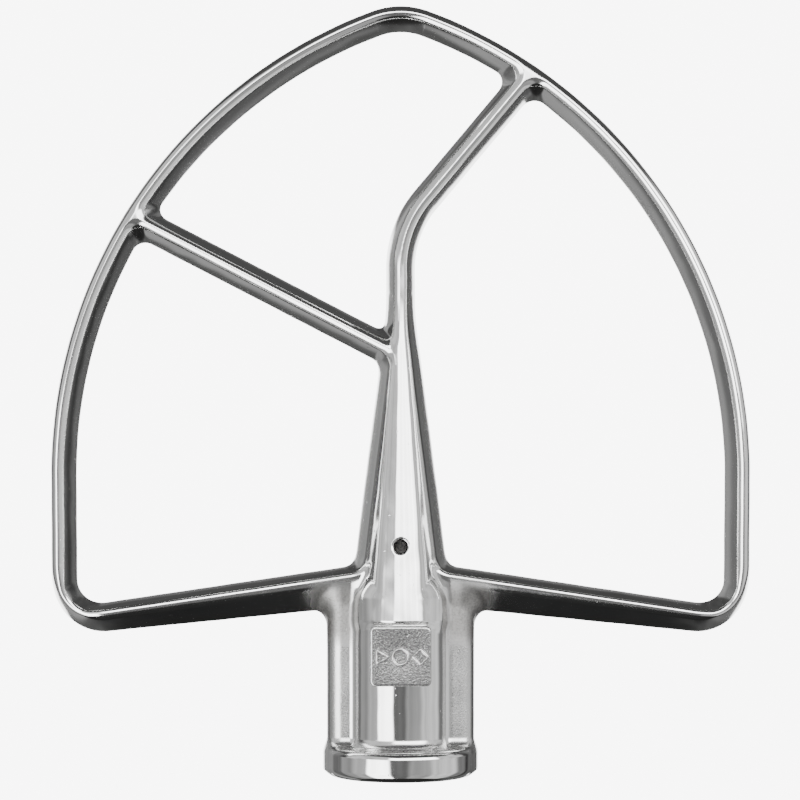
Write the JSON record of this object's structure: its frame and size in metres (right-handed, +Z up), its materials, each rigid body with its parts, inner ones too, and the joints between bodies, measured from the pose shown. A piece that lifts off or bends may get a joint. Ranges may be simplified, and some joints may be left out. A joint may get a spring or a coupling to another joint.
{
  "type": "flat beater",
  "caption": "Flat beater for a stand mixer: rounded triangular cast bow with a slanting brace and a bent prop, tapered spine and a socket hub with a collar.",
  "frame": {"origin": "centre of the shaft bore's mouth, on the collar's open face", "axes": "+Z up the bore axis to the tip of the bow, -Y the front that carries the marking pad, +X to the right seen from the front (the side the prop leans to)"},
  "size_m": [0.1326, 0.0284, 0.1459],
  "materials": {
    "polished_metal": "cast, burnished to a bright polish",
    "cast_skin": "as-cast grainy skin, lightly burnished"
  },
  "bodies": {
    "root": {"hub_collar": "polished_metal", "socket_barrel": "polished_metal", "pin_ear_left": "cast_skin", "pin_ear_right": "cast_skin", "socket_crown": "polished_metal", "spine": "polished_metal", "spine_fork": "polished_metal", "prop_bend": "polished_metal", "prop": "polished_metal", "prop_root": "polished_metal", "bow_tip": "polished_metal", "bow_left_high": "polished_metal", "brace_root": "polished_metal", "brace": "polished_metal", "bow_left_low": "polished_metal", "bow_right_high": "polished_metal", "bow_right_low": "polished_metal", "foot_left": "polished_metal", "foot_right": "polished_metal", "shoulder_left": "polished_metal", "shoulder_right": "polished_metal", "marking_pad": "cast_skin", "mark_triangle": "cast_skin", "mark_ring": "cast_skin", "mark_square": "cast_skin"}
  },
  "joints": []
}
